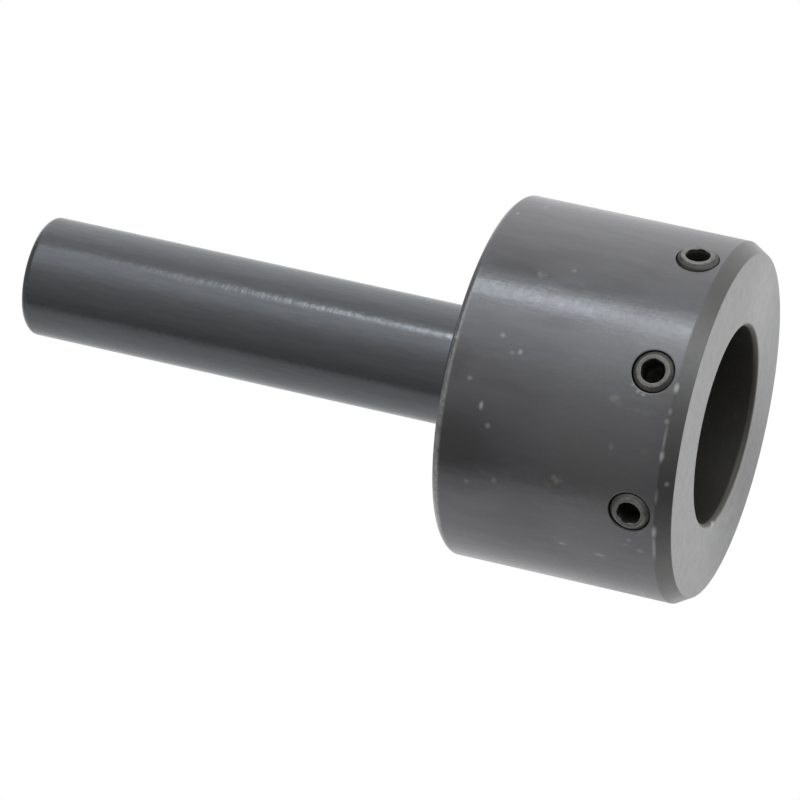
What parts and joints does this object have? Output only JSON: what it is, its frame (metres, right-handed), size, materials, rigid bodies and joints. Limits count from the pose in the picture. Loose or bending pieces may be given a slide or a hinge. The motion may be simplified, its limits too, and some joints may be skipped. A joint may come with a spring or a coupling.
{
  "type": "round die holder",
  "caption": "Round die holder with a straight shank: a drum whose pocket seats a threading die, held by set screws through the wall.",
  "frame": {"origin": "centre of the head's front face, on which the holder stands", "axes": "+Z along the turning axis, from the front face up to the shank's free end; -Y towards the middle set screw; +X to its right"},
  "size_m": [0.0381, 0.0382, 0.0762],
  "materials": {
    "blackened_body": "black oxide on turned steel, satin, with worn bright edges",
    "blackened_screw": "black oxide on alloy steel, satin"
  },
  "bodies": {
    "holder": {"holder_body": "blackened_body"},
    "left_screw": {"set_screw_left": "blackened_screw"},
    "middle_screw": {"set_screw_middle": "blackened_screw"},
    "right_screw": {"set_screw_right": "blackened_screw"}
  },
  "joints": [
    {"name": "left_screw_travel", "type": "slide", "parent": "holder", "child": "left_screw", "axis": [-0.7071, -0.7071, 0], "range_m": [-0.002, 0.0049]},
    {"name": "middle_screw_travel", "type": "slide", "parent": "holder", "child": "middle_screw", "axis": [0, -1, 0], "range_m": [-0.002, 0.004]},
    {"name": "right_screw_travel", "type": "slide", "parent": "holder", "child": "right_screw", "axis": [0.7071, -0.7071, 0], "range_m": [-0.00225, 0.0047]}
  ]
}
